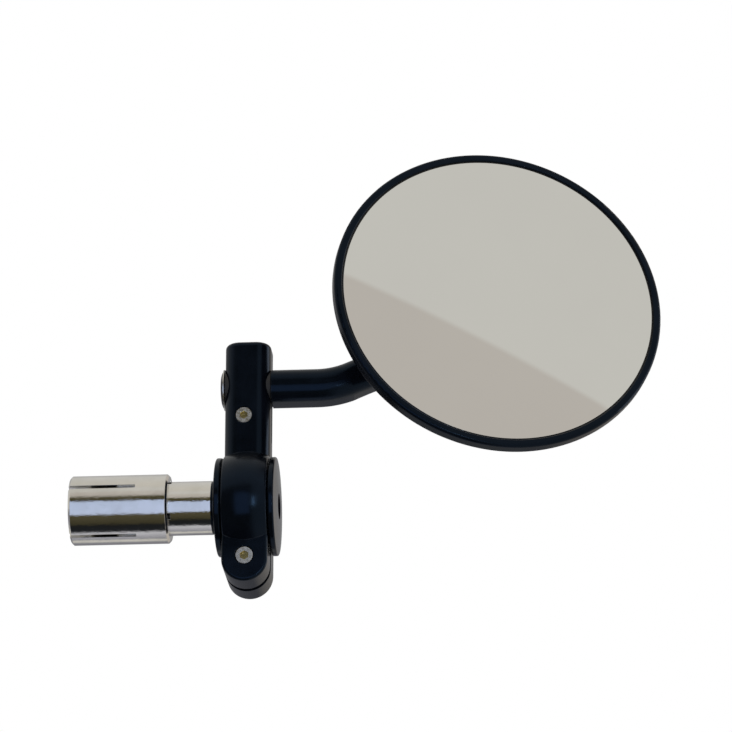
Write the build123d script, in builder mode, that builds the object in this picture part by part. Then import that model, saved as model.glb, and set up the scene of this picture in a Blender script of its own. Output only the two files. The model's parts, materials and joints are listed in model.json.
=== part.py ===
from build123d import *
from math import cos, radians, sin
import os

os.makedirs("parts", exist_ok=True)

# Right-hand bar-end mirror. Millimetres. The origin is on the handlebar axis, in the
# plane of the bar end. +X points outboard, +Z runs up the post and the rider is at -Y.

# Hub that sits against the bar end
flange_radius = 11.85
flange_thickness = 1.5
barrel_radius = 9.0
cap_face = 12.9
cap_rim_end = 14.3
cap_dome_end = 14.7
cap_dome_fullness = 0.7
spigot_outer_radius = 6.8
spigot_inner_radius = 5.6
spigot_end = 10.3
key_hole_radius = 3.1
fixed_play = 0.02
edge_round = 0.4

# Draw bolt and its washer
bolt_passage_radius = 3.2
head_bore_radius = 5.3
head_seat = 5.5
bolt_washer_radius = 5.1
bolt_washer_thickness = 1.0
bolt_radius = 2.95
bolt_head_radius = 4.9
bolt_head_start = 6.7
bolt_head_end = 12.0
bolt_tip = -30.0
bolt_key_across_flats = 5.0
bolt_key_depth = 3.0

# Expanding plug inside the bar
spacer_radius = 6.0
spacer_thickness = 0.8
expander_radius = 6.45
expander_tip = -24.0
expander_slot_end = -10.8
expander_slot_width = 1.5
expander_slot_angle = 34.0
cone_mouth_radius = 5.68
cone_slope = 1 / 6
cone_length = 7.5
wedge_gap = 0.38
wedge_nose = -19.0
wedge_neck_end = -26.0
wedge_flange_radius = 5.85
wedge_end = -30.5
wedge_thread_radius = 3.0
wedge_key_width = 0.9
wedge_key_length = 3.5
wedge_key_reach = 6.2

# Adapter sleeve that fills a wider bar
sleeve_inner_radius = 6.53
sleeve_outer_radius = 8.3
sleeve_near_end = -11.4
sleeve_length = 23.7
sleeve_slot_length = 16.0
sleeve_slot_width = 1.0
sleeve_slot_angle = 65.0
sleeve_chamfer = 0.5

# Clamp ring, post and lug
ring_x = 7.2
ring_width = 11.0
ring_crown_radius = 13.3
ring_bore_radius = 10.05
ring_round = 0.8
post_depth = 11.0
post_corner = 3.6
post_top = 40.4
post_top_round = 1.2
lug_depth = 16.0
lug_screw_z = -14.4
lug_round_z = -15.2
lug_slit = 1.9
lug_round = 0.7
liner_inner_radius = 9.06
liner_end_gap = 0.1
post_slit = 1.2
post_slit_bottom = 16.0
arm_z = 29.75

# Pinch screws
lug_screw_radius = 1.25
lug_screw_head_radius = 2.05
lug_screw_head_height = 1.9
lug_screw_seat = -5.9
lug_screw_tip = 6.8
lug_screw_key = 2.0
post_screw_x = 6.5
post_screw_z = 21.6
post_screw_radius = 1.0
post_screw_head_radius = 1.9
post_screw_head_height = 1.7
post_screw_seat = -3.6
post_screw_tip = 4.6
post_screw_key = 1.8
screw_clearance = 0.2
screw_key_depth = 1.0

# Arm pivot through the post
bush_inner_radius = 3.56
bush_outer_radius = 4.4
spindle_radius = 3.5
spindle_end = 1.5
spindle_thread_radius = 2.03
spindle_thread_end = 11.5
arm_root = 12.9
arm_washer_radius = 4.95
arm_washer_thickness = 0.3
arm_washer_bore = 2.1
arm_bolt_radius = 2.0
arm_bolt_head_radius = 4.7
arm_bolt_head_height = 0.6
arm_bolt_edge_radius = 4.1
arm_bolt_edge_height = 0.36
arm_bolt_crown_radius = 2.7
arm_bolt_tip = 11.0
arm_bolt_key = 2.5
arm_bolt_key_depth = 1.4

# Arm
arm_depth = 10.0
arm_height = 8.3
arm_corner = 3.5
bend_start = 23.6
bend_radius = 20.0
bend_angle = 22.0
bend_lean = 15.0
waist = Vector(46.0, 3.6, 37.65)
waist_depth = 8.4
waist_corner = 3.0
tip_climb = 13.0
tip_depth = 5.4
tip_corner = 2.2
tip_boss_radius = 6.2
tip_boss_round = 0.6

# Head. Depths are measured behind the front of the rim, along the mirror's own axis.
head_centre = Vector(68.3, -14.0, 46.55)
facing = Vector(0.268, -0.951, 0.152).normalized()
sideways = Vector(0.951, 0.268, 0).normalized()
rim_radius = 40.0
rim_depth = 3.1
rim_round = 0.8
rim_inner_round = 0.3
glass_seat_radius = 38.15
glass_radius = 38.0
glass_thickness = 2.0
glass_crown = -0.4
glass_curve = 900.0
glass_bevel = 0.3
pad_radius = 35.8
floor_depth = 3.2
dish_mid_radius = 28.0
dish_mid_depth = 7.9
cup_radius = 10.5
cup_root_depth = 9.6
pocket_inner_radius = 14.0
pocket_outer_radius = 31.0
pocket_floor = 5.2

# Ball joint behind the head
ball_depth = 12.5
ball_radius = 5.0
liner_ball_radius = 5.05
liner_shell_radius = 6.5
cavity_radius = 6.55
liner_mouth_angle = 41.0
liner_slot_width = 0.8
liner_slot_start = 13.0
neck_radius = 2.2
collar_radius = 3.2
collar_start = 20.4
collar_end = 21.1
stud_shank_radius = 2.0
stud_end = 33.0
boss_front = 21.3
boss_back = 28.3
stud_hole_radius = 2.05
stud_washer_radius = 4.6
stud_washer_start = 28.5
stud_washer_end = 29.1
locknut_end = 32.3
locknut_across_flats = 7.0
locknut_round_radius = 3.9
nut_hole_radius = 2.03

# Retainer ring and its screws
retainer_shoulder = 15.5
retainer_back = 18.3
retainer_back_radius = 7.8
mouth_root_radius = 2.59
mouth_slope = 0.358
retainer_screw_circle = 8.4
retainer_screw_count = 3
retainer_screw_radius = 0.75
retainer_screw_head_radius = 1.3
retainer_screw_head_height = 1.2
retainer_screw_seat = 15.1
retainer_screw_tip = 9.5
retainer_screw_key = 1.3
retainer_screw_key_depth = 0.6
retainer_clearance = 0.15
tap_play = 0.03
cut_past = 1.0

# Lines and points that follow from the dimensions
ball_centre = head_centre - facing * ball_depth
head_axis = Axis(head_centre, facing)
profile_plane = Plane(origin=head_centre, x_dir=sideways, z_dir=sideways.cross(facing))
arm_tip = head_centre - facing * ((boss_front + boss_back) / 2)
outward = (Align.CENTER, Align.CENTER, Align.MIN)


def outline(points, plane=Plane.XY):
    """Closed face through the points, ready to be revolved."""
    with BuildSketch(plane) as face:
        with BuildLine():
            Polyline(points, close=True)
        make_face()
    return face.sketch


def bar_ring(inner, outer, start, end):
    """Washer-shaped outline about the bar axis."""
    return outline([(start, inner), (start, outer), (end, outer), (end, inner)])


def head_ring(inner, outer, front, back):
    """Washer-shaped outline about the mirror's axis, between two depths."""
    return outline([(inner, -front), (outer, -front), (outer, -back), (inner, -back)], profile_plane)


def head_plane(depth):
    """Plane square to the mirror's axis, its normal pointing away from the rider."""
    return Plane(origin=head_centre - facing * depth, x_dir=sideways, z_dir=-facing)


def rims(solid, radius):
    """Circular edges of one radius."""
    circles = solid.part.edges().filter_by(GeomType.CIRCLE)
    return circles.filter_by(lambda edge: abs(edge.radius - radius) < 0.01)


def radial_slots(start, end, width, reach, first_angle):
    """Four slots, a quarter turn apart, cut outward from the bar axis."""
    middle = (start + end) / 2
    for quarter in range(4):
        turn = 90 * quarter + 90 + first_angle
        with Locations(Location((middle, 0, 0), (turn, 0, 0))):
            Box(end - start, width, reach, align=outward, mode=Mode.SUBTRACT)


def across(point, length, radius, mode=Mode.ADD):
    """Cylinder along +Y that begins at the point."""
    start = Plane(origin=point, x_dir=(1, 0, 0), z_dir=(0, 1, 0))
    with Locations(start):
        Cylinder(radius, length, align=outward, mode=mode)


def key_socket(plane, flats, depth):
    """Hexagon socket sunk below the plane, against its normal."""
    with BuildSketch(plane) as hexagon:
        RegularPolygon(flats / 2, 6, major_radius=False)
    extrude(hexagon.sketch, amount=-depth, mode=Mode.SUBTRACT)


# ---- Hub, end cap and draw bolt ----

with BuildPart() as hub_spool:
    revolve(
        outline(
            [
                (0, bolt_passage_radius),
                (0, flange_radius),
                (flange_thickness, flange_radius),
                (flange_thickness, barrel_radius),
                (cap_face, barrel_radius),
                (cap_face, spigot_outer_radius),
                (spigot_end, spigot_outer_radius),
                (spigot_end, head_bore_radius),
                (head_seat, head_bore_radius),
                (head_seat, bolt_passage_radius),
            ]
        ),
        axis=Axis.X,
    )
    fillet(rims(hub_spool, flange_radius), edge_round)
hub_spool.part.label = "hub_spool"
export_step(hub_spool.part, "parts/hub_spool.step")

with BuildPart() as end_cap:
    spigot_radius = spigot_outer_radius - fixed_play
    lip = cap_face - edge_round
    dome_rise = cap_dome_end - cap_rim_end
    with BuildSketch(Plane.XY):
        with BuildLine():
            Polyline(
                (cap_dome_end, key_hole_radius),
                (lip, key_hole_radius),
                (lip, spigot_inner_radius),
                (spigot_end, spigot_inner_radius),
                (spigot_end, spigot_radius),
                (cap_face, spigot_radius),
                (cap_face, flange_radius),
                (cap_rim_end, flange_radius),
            )
            ThreePointArc(
                (cap_rim_end, flange_radius),
                (cap_rim_end + dome_rise * cap_dome_fullness, (flange_radius + key_hole_radius) / 2),
                (cap_dome_end, key_hole_radius),
            )
        make_face()
    revolve(axis=Axis.X)
    fillet(rims(end_cap, flange_radius), edge_round)
end_cap.part.label = "end_cap"
export_step(end_cap.part, "parts/end_cap.step")

with BuildPart() as bolt_washer:
    revolve(
        bar_ring(bolt_passage_radius, bolt_washer_radius, head_seat, head_seat + bolt_washer_thickness),
        axis=Axis.X,
    )
bolt_washer.part.label = "bolt_washer"
export_step(bolt_washer.part, "parts/bolt_washer.step")

with BuildPart() as draw_bolt:
    revolve(bar_ring(0, bolt_radius, bolt_tip, bolt_head_start), axis=Axis.X)
    revolve(bar_ring(0, bolt_head_radius, bolt_head_start, bolt_head_end), axis=Axis.X)
    chamfer(rims(draw_bolt, bolt_head_radius).sort_by(Axis.X)[-1], edge_round)
    chamfer(rims(draw_bolt, bolt_radius).sort_by(Axis.X)[0], edge_round)
    key_socket(Plane.YZ.offset(bolt_head_end), bolt_key_across_flats, bolt_key_depth)
draw_bolt.part.label = "draw_bolt"
export_step(draw_bolt.part, "parts/draw_bolt.step")

# ---- Expanding plug ----

with BuildPart() as expander_washer:
    revolve(bar_ring(bolt_passage_radius, spacer_radius, -spacer_thickness, 0), axis=Axis.X)
expander_washer.part.label = "expander_washer"
export_step(expander_washer.part, "parts/expander_washer.step")

with BuildPart() as expander:
    cone_end = expander_tip + cone_length
    cone_end_radius = cone_mouth_radius - cone_length * cone_slope
    revolve(
        outline(
            [
                (-spacer_thickness, bolt_passage_radius),
                (-spacer_thickness, expander_radius),
                (expander_tip, expander_radius),
                (expander_tip, cone_mouth_radius),
                (cone_end, cone_end_radius),
                (cone_end, bolt_passage_radius),
            ]
        ),
        axis=Axis.X,
    )
    chamfer(rims(expander, expander_radius), edge_round)
    radial_slots(
        expander_tip - edge_round,
        expander_slot_end,
        expander_slot_width,
        2 * expander_radius,
        expander_slot_angle,
    )
expander.part.label = "expander"
export_step(expander.part, "parts/expander.step")

with BuildPart() as wedge_nut:
    neck_width = cone_mouth_radius - wedge_gap
    nose_radius = neck_width - (wedge_nose - expander_tip) * cone_slope
    revolve(
        outline(
            [
                (wedge_nose, wedge_thread_radius),
                (wedge_nose, nose_radius),
                (expander_tip, neck_width),
                (wedge_neck_end, neck_width),
                (wedge_neck_end, wedge_flange_radius),
                (wedge_end, wedge_flange_radius),
                (wedge_end, wedge_thread_radius),
            ]
        ),
        axis=Axis.X,
    )
    chamfer(rims(wedge_nut, wedge_flange_radius).sort_by(Axis.X)[0], edge_round)
    key_middle = expander_tip + edge_round + wedge_key_length / 2
    key_root = nose_radius - edge_round
    with Locations(Location((key_middle, 0, 0), (90 + expander_slot_angle, 0, 0))):
        with Locations((0, 0, key_root)):
            Box(wedge_key_length, wedge_key_width, wedge_key_reach - key_root, align=outward)
wedge_nut.part.label = "wedge_nut"
export_step(wedge_nut.part, "parts/wedge_nut.step")

with BuildPart() as adapter_sleeve:
    sleeve_far_end = sleeve_near_end - sleeve_length
    revolve(
        bar_ring(sleeve_inner_radius, sleeve_outer_radius, sleeve_far_end, sleeve_near_end),
        axis=Axis.X,
    )
    chamfer(rims(adapter_sleeve, sleeve_outer_radius), sleeve_chamfer)
    radial_slots(
        sleeve_far_end - sleeve_chamfer,
        sleeve_far_end + sleeve_slot_length,
        sleeve_slot_width,
        2 * sleeve_outer_radius,
        sleeve_slot_angle,
    )
adapter_sleeve.part.label = "adapter_sleeve"
export_step(adapter_sleeve.part, "parts/adapter_sleeve.step")

# ---- Clamp ring with its post and lug ----


def screw_hole(place, seat, tip, radius, head_radius):
    """Counterbored hole along +Y: clearance up to the split, tapped beyond it."""
    x, z = place
    across((x, -lug_depth, z), lug_depth + seat, head_radius + screw_clearance, Mode.SUBTRACT)
    across((x, seat, z), -seat, radius + screw_clearance, Mode.SUBTRACT)
    across((x, 0, z), tip + screw_clearance, radius + tap_play, Mode.SUBTRACT)


def cap_screw(place, seat, tip, radius, head_radius, head_height, key):
    """Socket screw along +Y, its head at -Y."""
    x, z = place
    head_face = seat - head_height
    across((x, seat, z), tip - seat, radius)
    across((x, head_face, z), head_height, head_radius)
    key_socket(Plane(origin=(x, head_face, z), z_dir=(0, -1, 0)), key, screw_key_depth)


with BuildPart() as clamp_body:
    side = ring_width / 2
    shoulder = (ring_crown_radius**2 - side**2) ** 0.5
    with BuildSketch(Plane.XY):
        with BuildLine():
            ThreePointArc(
                (ring_x - side, shoulder),
                (ring_x, ring_crown_radius),
                (ring_x + side, shoulder),
            )
            Polyline(
                (ring_x + side, shoulder),
                (ring_x + side, 0),
                (ring_x - side, 0),
                (ring_x - side, shoulder),
            )
        make_face()
    revolve(axis=Axis.X)
    fillet(rims(clamp_body, shoulder), ring_round)
    with BuildPart(mode=Mode.PRIVATE) as post:
        with BuildSketch(Plane.XY):
            with Locations((ring_x, 0)):
                RectangleRounded(ring_width, post_depth, post_corner)
        extrude(amount=post_top)
        fillet(post.faces().sort_by(Axis.Z)[-1].edges(), post_top_round)
    add(post.part)
    with BuildPart(mode=Mode.PRIVATE) as lug:
        with BuildSketch(Plane.XZ):
            with Locations((ring_x, lug_round_z / 2)):
                Rectangle(ring_width, -lug_round_z)
            with Locations((ring_x, lug_round_z)):
                Circle(ring_width / 2)
        extrude(amount=lug_depth / 2, both=True)
        front_and_back = lug.faces().filter_by(Axis.Y)
        fillet(front_and_back.edges(), lug_round)
    add(lug.part)
    with Locations(Location((ring_x, 0, 0), (0, 90, 0))):
        Cylinder(ring_bore_radius, 2 * ring_width, mode=Mode.SUBTRACT)
    with Locations((ring_x, 0, 2 * lug_screw_z)):
        Box(2 * ring_width, lug_slit, -4 * lug_screw_z, mode=Mode.SUBTRACT)
    with Locations(Location((ring_x, 0, arm_z), (0, 90, 0))):
        Cylinder(bush_outer_radius, 2 * ring_width, mode=Mode.SUBTRACT)
    with Locations((ring_x, 0, (arm_z + post_slit_bottom) / 2)):
        Box(2 * ring_width, post_slit, arm_z - post_slit_bottom, mode=Mode.SUBTRACT)
    screw_hole(
        (ring_x, lug_screw_z),
        lug_screw_seat,
        lug_screw_tip,
        lug_screw_radius,
        lug_screw_head_radius,
    )
    screw_hole(
        (post_screw_x, post_screw_z),
        post_screw_seat,
        post_screw_tip,
        post_screw_radius,
        post_screw_head_radius,
    )
clamp_body.part.label = "clamp_body"
export_step(clamp_body.part, "parts/clamp_body.step")

with BuildPart() as clamp_liner:
    liner_start = ring_x - ring_width / 2 + liner_end_gap
    liner_end = ring_x + ring_width / 2 - liner_end_gap
    revolve(bar_ring(liner_inner_radius, ring_bore_radius, liner_start, liner_end), axis=Axis.X)
    with Locations((ring_x, 0, -ring_bore_radius)):
        Box(2 * ring_width, lug_slit, ring_bore_radius, mode=Mode.SUBTRACT)
clamp_liner.part.label = "clamp_liner"
export_step(clamp_liner.part, "parts/clamp_liner.step")


with BuildPart() as pinch_screw:
    cap_screw(
        (ring_x, lug_screw_z),
        lug_screw_seat,
        lug_screw_tip,
        lug_screw_radius,
        lug_screw_head_radius,
        lug_screw_head_height,
        lug_screw_key,
    )
pinch_screw.part.label = "pinch_screw"
export_step(pinch_screw.part, "parts/pinch_screw.step")

with BuildPart() as arm_pinch_screw:
    cap_screw(
        (post_screw_x, post_screw_z),
        post_screw_seat,
        post_screw_tip,
        post_screw_radius,
        post_screw_head_radius,
        post_screw_head_height,
        post_screw_key,
    )
arm_pinch_screw.part.label = "arm_pinch_screw"
export_step(arm_pinch_screw.part, "parts/arm_pinch_screw.step")


def pivot_ring(inner, outer, start, end):
    """Washer-shaped outline about the arm's pivot."""
    corners = [(start, inner), (start, outer), (end, outer), (end, inner)]
    return outline(corners, Plane(origin=(0, 0, arm_z), x_dir=(1, 0, 0), z_dir=(0, 0, 1)))


pivot_axis = Axis((0, 0, arm_z), (1, 0, 0))

with BuildPart() as pivot_bush:
    bush_start = ring_x - ring_width / 2
    bush_end = ring_x + ring_width / 2
    revolve(pivot_ring(bush_inner_radius, bush_outer_radius, bush_start, bush_end), axis=pivot_axis)
    with Locations((ring_x, 0, arm_z - bush_outer_radius)):
        Box(2 * ring_width, post_slit, bush_outer_radius, mode=Mode.SUBTRACT)
pivot_bush.part.label = "pivot_bush"
export_step(pivot_bush.part, "parts/pivot_bush.step")

# ---- Arm ----

bend_side = Vector(0, sin(radians(bend_lean)), cos(radians(bend_lean)))
bend_axis = Axis((0, 0, 0), Vector(1, 0, 0).cross(bend_side))
bend_way = Vector(1, 0, 0).rotate(bend_axis, bend_angle)
bend_run = Vector(bend_radius * sin(radians(bend_angle)), 0, 0)
bend_rise = bend_side * (bend_radius * (1 - cos(radians(bend_angle))))
bend_end = Vector(bend_start, 0, arm_z) + bend_run + bend_rise
waist_way = (arm_tip - bend_end).normalized()
tip_way = sideways.rotate(Axis((0, 0, 0), facing), tip_climb)

with BuildPart() as arm:
    with BuildLine():
        Line((arm_root, 0, arm_z), (bend_start, 0, arm_z))
        TangentArc((bend_start, 0, arm_z), bend_end, tangent=(1, 0, 0))
    with BuildSketch(Plane(origin=(arm_root, 0, arm_z), x_dir=(0, 1, 0), z_dir=(1, 0, 0))):
        RectangleRounded(arm_depth, arm_height, arm_corner)
    sweep()
    depth_way = Vector(0, 1, 0).rotate(bend_axis, bend_angle)
    with BuildSketch(Plane(origin=bend_end, x_dir=depth_way, z_dir=bend_way)):
        RectangleRounded(arm_depth, arm_height, arm_corner)
    level_way = Vector(0, 0, 1).cross(waist_way)
    with BuildSketch(Plane(origin=waist, x_dir=level_way, z_dir=waist_way)):
        RectangleRounded(waist_depth, arm_height, waist_corner)
    with BuildSketch(Plane(origin=arm_tip, x_dir=-facing, z_dir=tip_way)):
        RectangleRounded(tip_depth, arm_height, tip_corner)
    loft()
    with BuildPart(mode=Mode.PRIVATE) as tip_boss:
        revolve(head_ring(0, tip_boss_radius, boss_front, boss_back), axis=head_axis)
        fillet(rims(tip_boss, tip_boss_radius), tip_boss_round)
    add(tip_boss.part)
    revolve(pivot_ring(0, spindle_radius, spindle_end, arm_root), axis=pivot_axis)
    revolve(
        pivot_ring(0, spindle_thread_radius, spindle_end, spindle_thread_end),
        axis=pivot_axis,
        mode=Mode.SUBTRACT,
    )
    revolve(
        head_ring(0, stud_hole_radius, collar_start, stud_end),
        axis=head_axis,
        mode=Mode.SUBTRACT,
    )
arm.part.label = "arm"
export_step(arm.part, "parts/arm.step")

with BuildPart() as arm_washer:
    washer_face = spindle_end - arm_washer_thickness
    revolve(
        pivot_ring(arm_washer_bore, arm_washer_radius, washer_face, spindle_end),
        axis=pivot_axis,
    )
arm_washer.part.label = "arm_washer"
export_step(arm_washer.part, "parts/arm_washer.step")

with BuildPart() as arm_bolt:
    head_base = spindle_end - arm_washer_thickness
    edge = head_base - arm_bolt_edge_height
    crown = head_base - arm_bolt_head_height
    revolve(pivot_ring(0, arm_bolt_radius, head_base, arm_bolt_tip), axis=pivot_axis)
    with BuildSketch(Plane(origin=(0, 0, arm_z), x_dir=(1, 0, 0), z_dir=(0, 0, 1))):
        with BuildLine():
            Polyline(
                (crown, arm_bolt_crown_radius),
                (crown, 0),
                (head_base, 0),
                (head_base, arm_bolt_head_radius),
            )
            ThreePointArc(
                (head_base, arm_bolt_head_radius),
                (edge, arm_bolt_edge_radius),
                (crown, arm_bolt_crown_radius),
            )
        make_face()
    revolve(axis=pivot_axis)
    key_socket(Plane(origin=(crown, 0, arm_z), z_dir=(-1, 0, 0)), arm_bolt_key, arm_bolt_key_depth)
arm_bolt.part.label = "arm_bolt"
export_step(arm_bolt.part, "parts/arm_bolt.step")

# ---- Ball stud, its washer and locknut ----

with BuildPart() as ball_stud:
    with Locations(ball_centre):
        Sphere(ball_radius)
    revolve(
        outline(
            [
                (0, -ball_depth),
                (neck_radius, -ball_depth),
                (neck_radius, -collar_start),
                (collar_radius, -collar_start),
                (collar_radius, -collar_end),
                (stud_shank_radius, -collar_end),
                (stud_shank_radius, -stud_end),
                (0, -stud_end),
            ],
            profile_plane,
        ),
        axis=head_axis,
    )
    chamfer(rims(ball_stud, stud_shank_radius).sort_by(head_axis)[0], edge_round)
ball_stud.part.label = "ball_stud"
export_step(ball_stud.part, "parts/ball_stud.step")

with BuildPart() as stud_washer:
    revolve(
        head_ring(nut_hole_radius, stud_washer_radius, stud_washer_start, stud_washer_end),
        axis=head_axis,
    )
stud_washer.part.label = "stud_washer"
export_step(stud_washer.part, "parts/stud_washer.step")

with BuildPart() as stud_locknut:
    with BuildSketch(head_plane(stud_washer_end)):
        RegularPolygon(locknut_across_flats / 2, 6, major_radius=False)
        Circle(nut_hole_radius, mode=Mode.SUBTRACT)
    extrude(amount=locknut_end - stud_washer_end)
    revolve(
        head_ring(0, locknut_round_radius, stud_washer_end, locknut_end),
        axis=head_axis,
        mode=Mode.INTERSECT,
    )
stud_locknut.part.label = "stud_locknut"
export_step(stud_locknut.part, "parts/stud_locknut.step")

# ---- Socket ----

with BuildPart() as socket_liner:
    mouth = radians(liner_mouth_angle)
    shell_lip = (liner_shell_radius * sin(mouth), -ball_depth - liner_shell_radius * cos(mouth))
    ball_lip = (liner_ball_radius * sin(mouth), -ball_depth - liner_ball_radius * cos(mouth))
    shell_front = (0, liner_shell_radius - ball_depth)
    ball_front = (0, liner_ball_radius - ball_depth)
    with BuildSketch(profile_plane):
        with BuildLine():
            ThreePointArc(shell_front, (liner_shell_radius, -ball_depth), shell_lip)
            Line(shell_lip, ball_lip)
            ThreePointArc(ball_lip, (liner_ball_radius, -ball_depth), ball_front)
            Line(ball_front, shell_front)
        make_face()
    revolve(axis=head_axis)
    with BuildSketch(head_plane(liner_slot_start)):
        Rectangle(liner_slot_width, 3 * liner_shell_radius)
        Rectangle(3 * liner_shell_radius, liner_slot_width)
    extrude(amount=liner_shell_radius, mode=Mode.SUBTRACT)
socket_liner.part.label = "socket_liner"
export_step(socket_liner.part, "parts/socket_liner.step")

with BuildPart() as socket_retainer:
    revolve(
        outline(
            [
                (0, -ball_depth),
                (cup_radius, -ball_depth),
                (cup_radius, -retainer_shoulder),
                (retainer_back_radius, -retainer_back),
                (0, -retainer_back),
            ],
            profile_plane,
        ),
        axis=head_axis,
    )
    with Locations(ball_centre):
        Sphere(cavity_radius, mode=Mode.SUBTRACT)
    mouth_depth = retainer_back - ball_depth + cut_past
    revolve(
        outline(
            [
                (0, -ball_depth),
                (mouth_root_radius, -ball_depth),
                (mouth_root_radius + mouth_slope * mouth_depth, -ball_depth - mouth_depth),
                (0, -ball_depth - mouth_depth),
            ],
            profile_plane,
        ),
        axis=head_axis,
        mode=Mode.SUBTRACT,
    )
    with BuildSketch(head_plane(ball_depth)):
        with PolarLocations(retainer_screw_circle, retainer_screw_count):
            Circle(retainer_screw_radius + retainer_clearance)
    extrude(amount=retainer_back, mode=Mode.SUBTRACT)
    with BuildSketch(head_plane(retainer_screw_seat)):
        with PolarLocations(retainer_screw_circle, retainer_screw_count):
            Circle(retainer_screw_head_radius + retainer_clearance)
    extrude(amount=retainer_back, mode=Mode.SUBTRACT)
socket_retainer.part.label = "socket_retainer"
export_step(socket_retainer.part, "parts/socket_retainer.step")

with BuildPart() as retainer_screws:
    with BuildSketch(head_plane(retainer_screw_tip)):
        with PolarLocations(retainer_screw_circle, retainer_screw_count):
            Circle(retainer_screw_radius)
    extrude(amount=retainer_screw_seat - retainer_screw_tip)
    with BuildSketch(head_plane(retainer_screw_seat)):
        with PolarLocations(retainer_screw_circle, retainer_screw_count):
            Circle(retainer_screw_head_radius)
    extrude(amount=retainer_screw_head_height)
    socket_floor = retainer_screw_seat + retainer_screw_head_height - retainer_screw_key_depth
    with BuildSketch(head_plane(socket_floor)):
        with PolarLocations(retainer_screw_circle, retainer_screw_count):
            RegularPolygon(retainer_screw_key / 2, 6, major_radius=False)
    extrude(amount=retainer_screw_key_depth, mode=Mode.SUBTRACT)
retainer_screws.part.label = "retainer_screws"
export_step(retainer_screws.part, "parts/retainer_screws.step")

# ---- Mirror head ----

with BuildPart() as mirror_housing:
    with BuildSketch(profile_plane):
        with BuildLine():
            Polyline(
                (cup_radius, -cup_root_depth),
                (cup_radius, -ball_depth),
                (0, -ball_depth),
                (0, -floor_depth),
                (glass_seat_radius, -floor_depth),
                (glass_seat_radius, 0),
                (rim_radius, 0),
                (rim_radius, -rim_depth),
            )
            ThreePointArc(
                (rim_radius, -rim_depth),
                (dish_mid_radius, -dish_mid_depth),
                (cup_radius, -cup_root_depth),
            )
        make_face()
    revolve(axis=head_axis)
    fillet(rims(mirror_housing, rim_radius), rim_round)
    fillet(rims(mirror_housing, glass_seat_radius).sort_by(head_axis)[-1], rim_inner_round)
    revolve(
        head_ring(pocket_inner_radius, pocket_outer_radius, 0, pocket_floor),
        axis=head_axis,
        mode=Mode.SUBTRACT,
    )
    with Locations(ball_centre):
        Sphere(cavity_radius, mode=Mode.SUBTRACT)
    with BuildSketch(head_plane(retainer_screw_tip - retainer_clearance)):
        with PolarLocations(retainer_screw_circle, retainer_screw_count):
            Circle(retainer_screw_radius + tap_play)
    extrude(amount=ball_depth, mode=Mode.SUBTRACT)
mirror_housing.part.label = "mirror_housing"
export_step(mirror_housing.part, "parts/mirror_housing.step")


def curved_depth(radius, crown):
    """Depth of the glass's curve at a radius, when its middle lies at the crown depth."""
    return crown + glass_curve - (glass_curve**2 - radius**2) ** 0.5


def curve_points(radius, crown):
    """Middle, halfway and edge points of the glass's curve."""
    return [(part * radius, -curved_depth(part * radius, crown)) for part in (0, 0.5, 1)]


with BuildPart() as mirror_glass:
    back_crown = glass_crown + glass_thickness
    bevel_start = glass_radius - glass_bevel
    bevel_depth = curved_depth(bevel_start, glass_crown)
    back_edge = curved_depth(glass_radius, back_crown)
    with BuildSketch(profile_plane):
        with BuildLine():
            ThreePointArc(*curve_points(bevel_start, glass_crown))
            Polyline(
                (bevel_start, -bevel_depth),
                (glass_radius, -bevel_depth - glass_bevel),
                (glass_radius, -back_edge),
            )
            ThreePointArc(*curve_points(glass_radius, back_crown))
            Line((0, -back_crown), (0, -glass_crown))
        make_face()
    revolve(axis=head_axis)
mirror_glass.part.label = "mirror_glass"
export_step(mirror_glass.part, "parts/mirror_glass.step")

with BuildPart() as adhesive_pad:
    with BuildSketch(profile_plane):
        with BuildLine():
            ThreePointArc(*curve_points(pad_radius, back_crown))
            Polyline(
                (pad_radius, -curved_depth(pad_radius, back_crown)),
                (pad_radius, -floor_depth),
                (0, -floor_depth),
                (0, -back_crown),
            )
        make_face()
    revolve(axis=head_axis)
adhesive_pad.part.label = "adhesive_pad"
export_step(adhesive_pad.part, "parts/adhesive_pad.step")
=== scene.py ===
import bpy
import json
import math
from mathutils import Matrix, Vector


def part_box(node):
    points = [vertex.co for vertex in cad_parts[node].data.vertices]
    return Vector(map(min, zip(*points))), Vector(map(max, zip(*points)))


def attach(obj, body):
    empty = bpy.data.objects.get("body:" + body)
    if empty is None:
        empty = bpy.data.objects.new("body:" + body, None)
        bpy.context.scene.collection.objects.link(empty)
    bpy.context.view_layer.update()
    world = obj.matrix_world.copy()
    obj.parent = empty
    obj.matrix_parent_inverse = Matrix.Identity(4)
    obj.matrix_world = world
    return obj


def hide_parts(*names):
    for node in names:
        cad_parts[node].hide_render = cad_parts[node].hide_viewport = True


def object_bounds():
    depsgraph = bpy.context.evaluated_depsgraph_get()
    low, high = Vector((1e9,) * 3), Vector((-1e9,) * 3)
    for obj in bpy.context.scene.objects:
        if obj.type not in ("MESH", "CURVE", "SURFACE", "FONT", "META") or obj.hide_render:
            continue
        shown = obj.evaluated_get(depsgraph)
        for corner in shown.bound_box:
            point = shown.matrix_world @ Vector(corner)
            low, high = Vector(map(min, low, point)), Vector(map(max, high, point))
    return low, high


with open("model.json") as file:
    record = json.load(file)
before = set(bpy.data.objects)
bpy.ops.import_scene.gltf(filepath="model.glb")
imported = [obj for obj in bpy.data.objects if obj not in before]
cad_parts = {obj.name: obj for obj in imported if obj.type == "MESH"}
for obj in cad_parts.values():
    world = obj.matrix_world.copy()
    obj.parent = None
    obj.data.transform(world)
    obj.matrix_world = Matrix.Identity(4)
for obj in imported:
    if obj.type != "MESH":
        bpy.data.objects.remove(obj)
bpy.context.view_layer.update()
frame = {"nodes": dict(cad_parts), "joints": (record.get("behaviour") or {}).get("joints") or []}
nodes = frame["nodes"]

MM = 0.001

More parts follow.
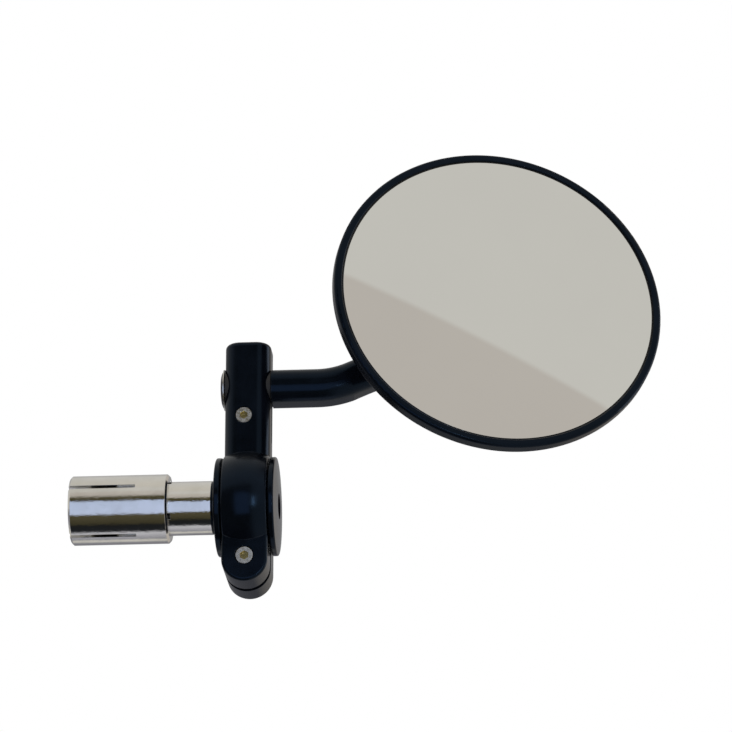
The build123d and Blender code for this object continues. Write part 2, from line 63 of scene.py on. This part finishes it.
# Sizes that match the CAD's. Depths run back along the mirror's axis from the front of the rim.
BOSS_TO_RIM = 24.8 * MM
GLASS_RADIUS = 38.0 * MM
GLASS_SEAT_RADIUS = 38.15 * MM
GLASS_BEVEL = 0.3 * MM
GLASS_CURVE = 900 * MM
GLASS_CROWN_DEPTH = -0.4 * MM
GLASS_BACK_DEPTH = 1.6 * MM
LOCKNUT_BACK_DEPTH = 32.3 * MM
STUD_END_DEPTH = 33.0 * MM


# ---- Materials ----


class Surface:
    """A node material with one Principled shader and helpers to feed it."""

    def __init__(self, name, **sockets):
        self.material = bpy.data.materials.new(name)
        self.material.use_nodes = True
        self.tree = self.material.node_tree
        self.tree.nodes.clear()
        self.shader = self.add("ShaderNodeBsdfPrincipled")
        output = self.add("ShaderNodeOutputMaterial")
        self.link(self.shader.outputs["BSDF"], output.inputs["Surface"])
        for socket, value in sockets.items():
            self.shader.inputs[socket.replace("_", " ")].default_value = value
        self.place = self.add("ShaderNodeTexCoord").outputs["Object"]

    def add(self, kind, **settings):
        node = self.tree.nodes.new(kind)
        for key, value in settings.items():
            setattr(node, key, value)
        return node

    def link(self, source, target):
        self.tree.links.new(source, target)

    def noise(self, scale, detail=4.0, roughness=0.55, stretch=(1, 1, 1)):
        """Noise in the part's own frame, one repeat every 1/scale metres."""
        mapping = self.add("ShaderNodeMapping")
        mapping.inputs["Scale"].default_value = stretch
        self.link(self.place, mapping.inputs["Vector"])
        node = self.add("ShaderNodeTexNoise")
        node.inputs["Scale"].default_value = scale
        node.inputs["Detail"].default_value = detail
        node.inputs["Roughness"].default_value = roughness
        self.link(mapping.outputs["Vector"], node.inputs["Vector"])
        return node.outputs["Fac"]

    def spread(self, value, low, high, to_low, to_high):
        """Remap a value from low..high to to_low..to_high, clamped."""
        node = self.add("ShaderNodeMapRange", clamp=True)
        self.link(value, node.inputs["Value"])
        limits = {"From Min": low, "From Max": high, "To Min": to_low, "To Max": to_high}
        for socket, number in limits.items():
            node.inputs[socket].default_value = number
        return node.outputs["Result"]

    def maths(self, operation, first, second):
        """A sum or product of a value with a number or another value."""
        node = self.add("ShaderNodeMath", operation=operation)
        self.link(first, node.inputs[0])
        if isinstance(second, (int, float)):
            node.inputs[1].default_value = second
        else:
            self.link(second, node.inputs[1])
        return node.outputs["Value"]

    def colours(self, factor, first, second):
        """Blend from the first colour to the second."""
        node = self.add("ShaderNodeMix", data_type="RGBA")
        self.link(factor, node.inputs["Factor"])
        for socket, colour in ((node.inputs[6], first), (node.inputs[7], second)):
            if isinstance(colour, tuple):
                socket.default_value = (*colour, 1)
            else:
                self.link(colour, socket)
        return node.outputs[2]

    def edges(self, radius):
        """1 on the sharp edges, 0 on the flats."""
        bevel = self.add("ShaderNodeBevel", samples=6)
        bevel.inputs["Radius"].default_value = radius
        geometry = self.add("ShaderNodeNewGeometry")
        dot = self.add("ShaderNodeVectorMath", operation="DOT_PRODUCT")
        self.link(bevel.outputs["Normal"], dot.inputs[0])
        self.link(geometry.outputs["Normal"], dot.inputs[1])
        return self.spread(dot.outputs["Value"], 0.995, 0.86, 0, 1)

    def relief(self, height, distance, strength, rounding=0.00012):
        """Bump, on edges rounded a little so that they catch the light."""
        bevel = self.add("ShaderNodeBevel", samples=4)
        bevel.inputs["Radius"].default_value = rounding
        bump = self.add("ShaderNodeBump")
        bump.inputs["Distance"].default_value = distance
        bump.inputs["Strength"].default_value = strength
        self.link(height, bump.inputs["Height"])
        self.link(bevel.outputs["Normal"], bump.inputs["Normal"])
        self.link(bump.outputs["Normal"], self.shader.inputs["Normal"])

    def feed(self, socket, value):
        """Drive one of the shader's inputs."""
        self.link(value, self.shader.inputs[socket])


def anodised(name, base, roughness, grain, shine):
    """Black anodised aluminium: fine blasted grain, faint handling marks, edges worn slightly lighter."""
    blue_sheen = (0.34, 0.60, 1.0, 1.0)
    worn = (0.060, 0.061, 0.066)
    s = Surface(name, Metallic=0.0, IOR=1.5, Specular_IOR_Level=shine, Specular_Tint=blue_sheen)
    patches = s.noise(95, 5)
    grains = s.noise(5200, 2, 0.7)
    wear = s.maths("MULTIPLY", s.edges(0.00022), s.spread(s.noise(420, 4), 0.42, 0.62, 0, 0.55))
    lifted = tuple(2.1 * channel for channel in base)
    colour = s.colours(s.spread(patches, 0.35, 0.7, 0, 1), base, lifted)
    s.feed("Base Color", s.colours(wear, colour, worn))
    rough = s.spread(patches, 0.3, 0.7, roughness - 0.05, roughness + 0.06)
    s.feed("Roughness", s.maths("ADD", rough, s.spread(grains, 0.3, 0.7, -0.03, 0.03)))
    s.relief(grains, 0.000016, grain)
    return s.material


def chrome(name, roughness):
    """Bright plating over a turned surface: fine rings, faint lengthwise scratches, soft smears."""
    s = Surface(name, Metallic=1.0)
    smears = s.noise(150, 5)
    rings = s.noise(2600, 3, 0.6, stretch=(1, 0.02, 0.02))
    scratches = s.noise(1500, 2, 0.8, stretch=(0.16, 1, 1))
    pits = s.noise(1150, 3, 0.7)
    clean, smeared = (0.86, 0.85, 0.83), (0.77, 0.76, 0.73)
    s.feed("Base Color", s.colours(s.spread(smears, 0.35, 0.7, 0, 1), clean, smeared))
    rough = s.spread(smears, 0.3, 0.7, roughness - 0.03, roughness + 0.05)
    s.feed("Roughness", s.maths("ADD", rough, s.spread(scratches, 0.52, 0.66, 0, 0.09)))
    height = s.maths("ADD", s.maths("MULTIPLY", rings, 0.5), s.maths("MULTIPLY", pits, 0.8))
    s.relief(height, 0.00007, 0.65)
    return s.material


def plated_screw(name, tint, shaded_socket_tint, face):
    """Zinc-plated steel. Behind the head's face, inside the socket, the colour turns darker and more
    yellow; the darkening is painted shade in the recess.
    """
    s = Surface(name, Metallic=1.0)
    stains = s.noise(900, 4)
    parts = s.add("ShaderNodeSeparateXYZ")
    s.link(s.place, parts.inputs["Vector"])
    blend_start = face + 0.1 * MM
    blend_depth = 0.5 * MM
    # Mask for the painted shade in the socket: 0 at the head's face, 1 a little deeper in.
    sunk = s.spread(parts.outputs["Y"], blend_start, blend_start + blend_depth, 0, 1)
    metal = s.colours(s.spread(stains, 0.35, 0.65, 0, 1), tint, tuple(0.78 * t for t in tint))
    s.feed("Base Color", s.colours(sunk, metal, shaded_socket_tint))
    s.feed("Roughness", s.spread(s.noise(1800, 3), 0.3, 0.7, 0.2, 0.36))
    s.relief(s.noise(3800, 2), 0.00001, 0.5, 0.00008)
    return s.material


def steel(name, tint=(0.58, 0.57, 0.54)):
    """Turned steel with faint stains."""
    s = Surface(name, Metallic=1.0)
    stains = s.noise(320, 5)
    s.feed("Base Color", s.colours(s.spread(stains, 0.35, 0.65, 0, 1), tint, tuple(0.7 * t for t in tint)))
    s.feed("Roughness", s.spread(s.noise(1500, 4), 0.3, 0.7, 0.22, 0.4))
    s.relief(s.noise(3000, 3), 0.00001, 0.5, 0.00008)
    return s.material


def moulded(name, base, roughness):
    """Moulded plastic: fine spark texture and uneven sheen."""
    s = Surface(name, Metallic=0.0, IOR=1.47)
    cloud = s.noise(260, 4)
    s.feed("Base Color", s.colours(s.spread(cloud, 0.3, 0.7, 0, 1), base, tuple(1.35 * b for b in base)))
    s.feed("Roughness", s.spread(cloud, 0.3, 0.7, roughness - 0.06, roughness + 0.08))
    s.relief(s.noise(2800, 3, 0.7), 0.00002, 0.5, 0.00008)
    return s.material


def foam(name):
    """Closed-cell foam tape: round cells and a dull face."""
    s = Surface(name, Metallic=0.0, IOR=1.4)
    cells = s.add("ShaderNodeTexVoronoi")
    cells.inputs["Scale"].default_value = 1900
    s.link(s.place, cells.inputs["Vector"])
    pore, wall = (0.012, 0.012, 0.012), (0.05, 0.05, 0.05)
    s.feed("Base Color", s.colours(cells.outputs["Distance"], pore, wall))
    s.feed("Roughness", s.spread(cells.outputs["Distance"], 0, 0.6, 0.75, 0.95))
    s.relief(cells.outputs["Distance"], 0.00008, 0.8)
    return s.material


def silvered_glass(name):
    """Mirror glass: almost clean, with a faint film and a few soft smears."""
    s = Surface(name, Metallic=1.0, Coat_Weight=0.25, Coat_Roughness=0.0, Coat_IOR=1.5)
    film = s.noise(38, 3)
    smear = s.noise(70, 4, 0.6, stretch=(0.35, 1, 1))
    clean, filmed = (0.90, 0.91, 0.90), (0.885, 0.893, 0.885)
    s.feed("Base Color", s.colours(s.spread(film, 0.3, 0.7, 0, 1), clean, filmed))
    s.feed("Roughness", s.spread(smear, 0.55, 0.75, 0.004, 0.03))
    ripple = s.noise(24, 2)
    bump = s.add("ShaderNodeBump")
    bump.inputs["Distance"].default_value = 0.00002
    bump.inputs["Strength"].default_value = 0.1
    s.link(ripple, bump.inputs["Height"])
    s.link(bump.outputs["Normal"], s.shader.inputs["Normal"])
    return s.material


black_body = anodised("black_body", (0.0012, 0.0016, 0.0028), 0.20, 0.4, 0.27)
black_head = anodised("black_head", (0.0014, 0.0018, 0.0030), 0.24, 0.5, 0.22)
black_bright = anodised("black_bright", (0.0012, 0.0016, 0.0026), 0.13, 0.2, 0.24)
bright_plate = chrome("bright_plate", 0.075)
lug_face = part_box("pinch_screw")[0][1]
post_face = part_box("arm_pinch_screw")[0][1]
silver = (0.90, 0.88, 0.82)
# Dark yellow painted into the screw sockets as painted shade.
shaded_brass_tone = (0.42, 0.34, 0.14)

finishes = {
    "hub_spool": black_bright,
    "end_cap": black_bright,
    "bolt_washer": steel("washer_steel"),
    "expander_washer": moulded("black_spacer", (0.006, 0.006, 0.007), 0.34),
    "expander": bright_plate,
    "draw_bolt": steel("bolt_steel", (0.33, 0.32, 0.30)),
    "wedge_nut": steel("wedge_steel", (0.55, 0.54, 0.50)),
    "adapter_sleeve": bright_plate,
    "clamp_body": black_body,
    "clamp_liner": moulded("liner_plastic", (0.008, 0.008, 0.009), 0.45),
    "pinch_screw": plated_screw("lug_screw_plate", silver, shaded_brass_tone, lug_face),
    "arm_pinch_screw": plated_screw("post_screw_plate", silver, shaded_brass_tone, post_face),
    "pivot_bush": moulded("bush_plastic", (0.010, 0.010, 0.011), 0.5),
    "arm": black_body,
    "arm_washer": steel("bright_washer", (0.80, 0.80, 0.78)),
    "arm_bolt": black_bright,
    "ball_stud": steel("stud_steel", (0.60, 0.59, 0.56)),
    "stud_washer": steel("stud_washer_steel", (0.66, 0.65, 0.62)),
    "stud_locknut": steel("locknut_steel", (0.10, 0.10, 0.105)),
    "socket_liner": moulded("socket_plastic", (0.42, 0.41, 0.37), 0.42),
    "socket_retainer": black_head,
    "retainer_screws": steel("retainer_screw_steel", (0.50, 0.49, 0.46)),
    "mirror_housing": black_head,
    "adhesive_pad": foam("foam_tape"),
    "mirror_glass": silvered_glass("mirror_silver"),
}
for node, material in finishes.items():
    for material_slot in nodes[node].material_slots:
        material_slot.material = material


# ---- Added pieces ----


def stud_frame():
    """Middle of the arm's end boss and the way that the mirror faces, from the stud's joint."""
    for joint in frame["joints"]:
        if joint["name"] == "stud_spin":
            return Vector(joint["pos_m"]), Vector(joint["axis"]).normalized()
    raise SystemExit("no stud_spin joint")


boss_middle, facing = stud_frame()
up_slope = (Vector((0, 0, 1)) - facing * facing.z).normalized()
sideways = up_slope.cross(facing)
rim_front = boss_middle + facing * BOSS_TO_RIM


def spoke(turn):
    """Direction out from the mirror's axis: outboard at 0, up the slope at a quarter turn."""
    return sideways * math.cos(turn) + up_slope * math.sin(turn)


def placed(name, mesh, material):
    """Object with this mesh and material, in the scene."""
    piece = bpy.data.objects.new(name, mesh)
    bpy.context.scene.collection.objects.link(piece)
    mesh.materials.append(material)
    return piece


def swept(name, rings, closed, material):
    """Mesh from rings of points, joined in order. It is closed into a loop or capped at both ends."""
    vertices = [point for ring in rings for point in ring]
    size = len(rings[0])
    faces = []
    for i in range(len(rings) if closed else len(rings) - 1):
        a, b = i * size, ((i + 1) % len(rings)) * size
        faces += [(a + j, a + (j + 1) % size, b + (j + 1) % size, b + j) for j in range(size)]
    if not closed:
        faces += [tuple(range(size))[::-1], tuple(range(len(vertices) - size, len(vertices)))]
    mesh = bpy.data.meshes.new(name)
    mesh.from_pydata(vertices, [], faces)
    mesh.update()
    mesh.shade_smooth()
    return placed(name, mesh, material)


def bead(name, centre, radius, width, height, material, steps=256, sides=12):
    """Oval bead round the mirror's axis. The width and height are measured from the oval's middle."""
    rings = []
    for i in range(steps):
        out = spoke(math.tau * i / steps)
        ring = []
        for j in range(sides):
            around = math.tau * j / sides
            across = out * (radius + width * math.cos(around))
            ring.append(centre + across + facing * height * math.sin(around))
        rings.append(ring)
    return swept(name, rings, True, material)


def thread(name, start, end, radius, pitch, material, steps=40):
    """Screw thread: a V-shaped ridge wound along the stud's axis, its root sunk a little in the core."""
    way = (end - start).normalized()
    length = (end - start).length
    count = int(steps * length / pitch)
    half_root = 0.44 * pitch
    half_crest = 0.07 * pitch
    root_radius = radius - 0.05 * MM
    crest_radius = radius + 0.30 * pitch
    rings = []
    for i in range(count + 1):
        out = spoke(math.tau * i / steps)
        along = start + way * (length * i / count)
        rings.append(
            [
                along - way * half_root + out * root_radius,
                along - way * half_crest + out * crest_radius,
                along + way * half_crest + out * crest_radius,
                along + way * half_root + out * root_radius,
            ]
        )
    piece = swept(name, rings, False, material)
    piece.data.shade_flat()
    return piece


def lathe(name, centre, profile, material, steps=180):
    """Solid turned about the mirror's axis from (radius, depth) pairs, of which the end ones are on it."""
    outs = [spoke(math.tau * i / steps) for i in range(steps)]
    vertices = [centre - facing * profile[0][1]]
    for radius, depth in profile[1:-1]:
        vertices += [centre + out * radius - facing * depth for out in outs]
    vertices.append(centre - facing * profile[-1][1])
    last = len(vertices) - 1
    faces = []
    for i in range(steps):
        beside = (i + 1) % steps
        faces.append((0, 1 + i, 1 + beside))
        for ring in range(len(profile) - 3):
            a, b = 1 + ring * steps, 1 + (ring + 1) * steps
            faces.append((a + i, b + i, b + beside, a + beside))
        faces.append((last, last - steps + beside, last - steps + i))
    mesh = bpy.data.meshes.new(name)
    mesh.from_pydata(vertices, [], faces)
    mesh.update()
    mesh.shade_smooth()
    mesh.set_sharp_from_angle(angle=math.radians(20))
    return placed(name, mesh, material)


def curved(radius, crown, rings=20):
    """(radius, depth) pairs on the glass's curve, from the crown on the axis out to the radius."""
    pairs = []
    for i in range(rings + 1):
        out = radius * i / rings
        pairs.append((out, crown + GLASS_CURVE - math.sqrt(GLASS_CURVE * GLASS_CURVE - out * out)))
    return pairs


# The glass again with a finer face, since its reflections show every facet.
front_face = curved(GLASS_RADIUS - GLASS_BEVEL, GLASS_CROWN_DEPTH)
back_face = curved(GLASS_RADIUS, GLASS_BACK_DEPTH)[::-1]
bevel_end = (GLASS_RADIUS, front_face[-1][1] + GLASS_BEVEL)
glass = lathe("fine_glass", rim_front, front_face + [bevel_end] + back_face, finishes["mirror_glass"])
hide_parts("mirror_glass")
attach(glass, "head")

# The seal fills the gap between the glass and its seat.
seal_depth = 0.80 * MM
seal = bead(
    "glass_seal",
    centre=rim_front - facing * seal_depth,
    radius=(GLASS_RADIUS + GLASS_SEAT_RADIUS) / 2,
    width=0.16 * MM,
    height=0.30 * MM,
    material=moulded("seal_rubber", (0.004, 0.004, 0.005), 0.5),
)
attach(seal, "head")

# The thread starts a little inside the locknut, and its last turn ends at the stud's end. Its crests only
# just come out of the plain shank, whose radius is 2 mm.
inside_nut = 0.4 * MM
thread_pitch = 0.5 * MM
stud_thread = thread(
    "stud_thread",
    start=rim_front - facing * (LOCKNUT_BACK_DEPTH - inside_nut),
    end=rim_front - facing * (STUD_END_DEPTH - thread_pitch / 2),
    radius=1.86 * MM,
    pitch=thread_pitch,
    material=finishes["ball_stud"],
)
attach(stud_thread, "stud")


# ---- Studio ----

low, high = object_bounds()
middle = (Vector(low) + Vector(high)) / 2

floor_reach = 6.0
floor_height = -0.45
floor_mesh = bpy.data.meshes.new("floor")
floor_mesh.from_pydata(
    [(floor_reach * x, floor_reach * y, floor_height) for x, y in ((-1, -1), (1, -1), (1, 1), (-1, 1))],
    [],
    [(0, 1, 2, 3)],
)
floor_finish = Surface("pale_floor", Metallic=0.0)
pale, paler = (0.80, 0.80, 0.79), (0.84, 0.84, 0.83)
floor_finish.feed("Base Color", floor_finish.colours(floor_finish.noise(2.5, 3), pale, paler))
floor_finish.feed("Roughness", floor_finish.spread(floor_finish.noise(30, 3), 0.3, 0.7, 0.6, 0.75))
floor = placed("floor", floor_mesh, floor_finish.material)
floor.visible_glossy = False

# Room colours by pitch in degrees: 0 is level on the rider's side, 90 overhead, -90 below and 180 level
# on the far side.
room_bands = [
    (-180, (0.20, 0.20, 0.22)),
    (-130, (0.30, 0.30, 0.33)),
    (-100, (0.56, 0.56, 0.60)),
    (-93, (0.016, 0.018, 0.020)),
    (-70, (0.012, 0.013, 0.014)),
    (-63, (0.045, 0.040, 0.022)),
    (-38, (0.080, 0.070, 0.040)),
    (16, (0.050, 0.043, 0.018)),
    (27, (0.080, 0.070, 0.036)),
    (33, (0.505, 0.468, 0.425)),
    (75, (0.600, 0.572, 0.510)),
    (120, (0.600, 0.590, 0.560)),
    (180, (0.20, 0.20, 0.22)),
]
pale_wall = (0.505, 0.468, 0.425)
lighter_ceiling = (0.585, 0.568, 0.525)
ceiling_tilt = (0.2115, 0.706, 0.675)


def surroundings():
    """Room as a sky: pale overhead and outboard, dark in front of the mirror and below, with soft edges."""
    world = bpy.data.worlds.new("studio")
    bpy.context.scene.world = world
    world.use_nodes = True
    tree = world.node_tree
    tree.nodes.clear()

    def add(kind, **settings):
        node = tree.nodes.new(kind)
        for key, value in settings.items():
            setattr(node, key, value)
        return node

    def maths(operation, first, second):
        node = add("ShaderNodeMath", operation=operation)
        for socket, value in zip(node.inputs, (first, second)):
            if isinstance(value, (int, float)):
                socket.default_value = value
            else:
                tree.links.new(value, socket)
        return node.outputs["Value"]

    def share(value, zero_at, one_at, interpolation="SMOOTHSTEP"):
        """0 up to one value and 1 from the other, rising between them."""
        node = add("ShaderNodeMapRange", interpolation_type=interpolation)
        tree.links.new(value, node.inputs["Value"])
        node.inputs["From Min"].default_value = zero_at
        node.inputs["From Max"].default_value = one_at
        return node.outputs["Result"]

    def over(base, colour, factor):
        """The base, covered by the colour where the factor is 1."""
        node = add("ShaderNodeMix", data_type="RGBA")
        tree.links.new(factor, node.inputs["Factor"])
        tree.links.new(base, node.inputs[6])
        node.inputs[7].default_value = (*colour, 1)
        return node.outputs[2]

    way = add("ShaderNodeTexCoord").outputs["Generated"]
    parts = add("ShaderNodeSeparateXYZ")
    tree.links.new(way, parts.inputs["Vector"])
    toward_rider = maths("MULTIPLY", parts.outputs["Y"], -1)
    pitch = maths("ARCTAN2", parts.outputs["Z"], toward_rider)
    ramp = add("ShaderNodeValToRGB")
    tree.links.new(share(pitch, -math.pi, math.pi, "LINEAR"), ramp.inputs["Fac"])
    stops = ramp.color_ramp.elements
    while len(stops) < len(room_bands):
        stops.new(0.5)
    for stop, (degrees, colour) in zip(stops, room_bands):
        stop.position = (degrees + 180) / 360
        stop.color = (*colour, 1)

    # A pale wall outboard of the mirror, in place of the bands.
    room = over(ramp.outputs["Color"], pale_wall, share(parts.outputs["X"], 0.12, 0.30))

    # In the mirror, a lighter ceiling meets the room's colour in one straight line and fades out above it.
    corner = add("ShaderNodeVectorMath", operation="DOT_PRODUCT")
    corner.inputs[1].default_value = ceiling_tilt
    tree.links.new(way, corner.inputs[0])
    past_line = share(corner.outputs["Value"], -0.0125, -0.0065)
    near_line = share(corner.outputs["Value"], 0.35, 0.15)
    room = over(room, lighter_ceiling, maths("MULTIPLY", past_line, near_line))

    # White to the camera and as soft light on the floor. Only reflections see the room.
    path = add("ShaderNodeLightPath")
    plain = maths("MAXIMUM", path.outputs["Is Camera Ray"], path.outputs["Is Diffuse Ray"])
    background = add("ShaderNodeBackground")
    tree.links.new(over(room, (1.0, 1.0, 1.0), plain), background.inputs["Color"])
    output = add("ShaderNodeOutputWorld")
    tree.links.new(background.outputs["Background"], output.inputs["Surface"])


surroundings()


def soft_light(name, target, away, wide, tall, power, colour):
    """Rectangular soft light that faces the target from the offset away."""
    lamp = bpy.data.lights.new(name, "AREA")
    lamp.shape = "RECTANGLE"
    lamp.size = wide
    lamp.size_y = tall
    lamp.energy = power
    lamp.color = colour
    holder = bpy.data.objects.new(name, lamp)
    bpy.context.scene.collection.objects.link(holder)
    holder.location = target + Vector(away)
    holder.rotation_euler = (-Vector(away)).to_track_quat("-Z", "Y").to_euler()
    return holder


clamp = Vector(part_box("clamp_body")[0]) / 2 + Vector(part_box("clamp_body")[1]) / 2
hub = Vector((clamp.x, 0, 0))
soft_light(
    "front_panel",
    target=hub,
    away=(-0.16, -1.25, -0.20),
    wide=0.70,
    tall=1.04,
    power=1.8,
    colour=(0.58, 0.70, 1.0),
)
soft_light(
    "front_strip",
    target=hub,
    away=(0.34, -1.15, -0.10),
    wide=0.03,
    tall=0.40,
    power=0.7,
    colour=(0.8, 0.9, 1.0),
)
overhead = soft_light(
    "overhead",
    target=middle,
    away=(0.1, 0.25, 1.3),
    wide=3.2,
    tall=3.0,
    power=12.0,
    colour=(1.0, 1.0, 1.0),
)
overhead.visible_glossy = False
soft_light(
    "side_fill",
    target=middle,
    away=(1.4, 0.35, 0.25),
    wide=0.8,
    tall=1.2,
    power=4.0,
    colour=(0.86, 0.92, 1.0),
)


# ---- Camera ----

camera_data = bpy.data.cameras.new("camera")
camera = bpy.data.objects.new("camera", camera_data)
bpy.context.scene.collection.objects.link(camera)
bpy.context.scene.camera = camera

# 1 m from the hub, a little to the right of the rider's line and well below it.
turn = math.radians(8.7)
rise = math.radians(-20)
distance = 1.0
shift_left = 0.0459
shift_up = 0.0314
back = Vector((math.sin(turn) * math.cos(rise), -math.cos(turn) * math.cos(rise), math.sin(rise)))
right = Vector((math.cos(turn), math.sin(turn), 0))
upward = back.cross(right)
camera.location = hub + back * distance - right * shift_left + upward * shift_up
aim = middle + Vector((0.0, 0.0, 0.001))
camera.rotation_euler = (camera.location - aim).to_track_quat("Z", "Y").to_euler()
camera_data.sensor_width = 36
camera_data.lens = 206
camera_data.clip_start = 0.01
camera_data.clip_end = 60

bpy.context.scene.view_settings.view_transform = "Standard"
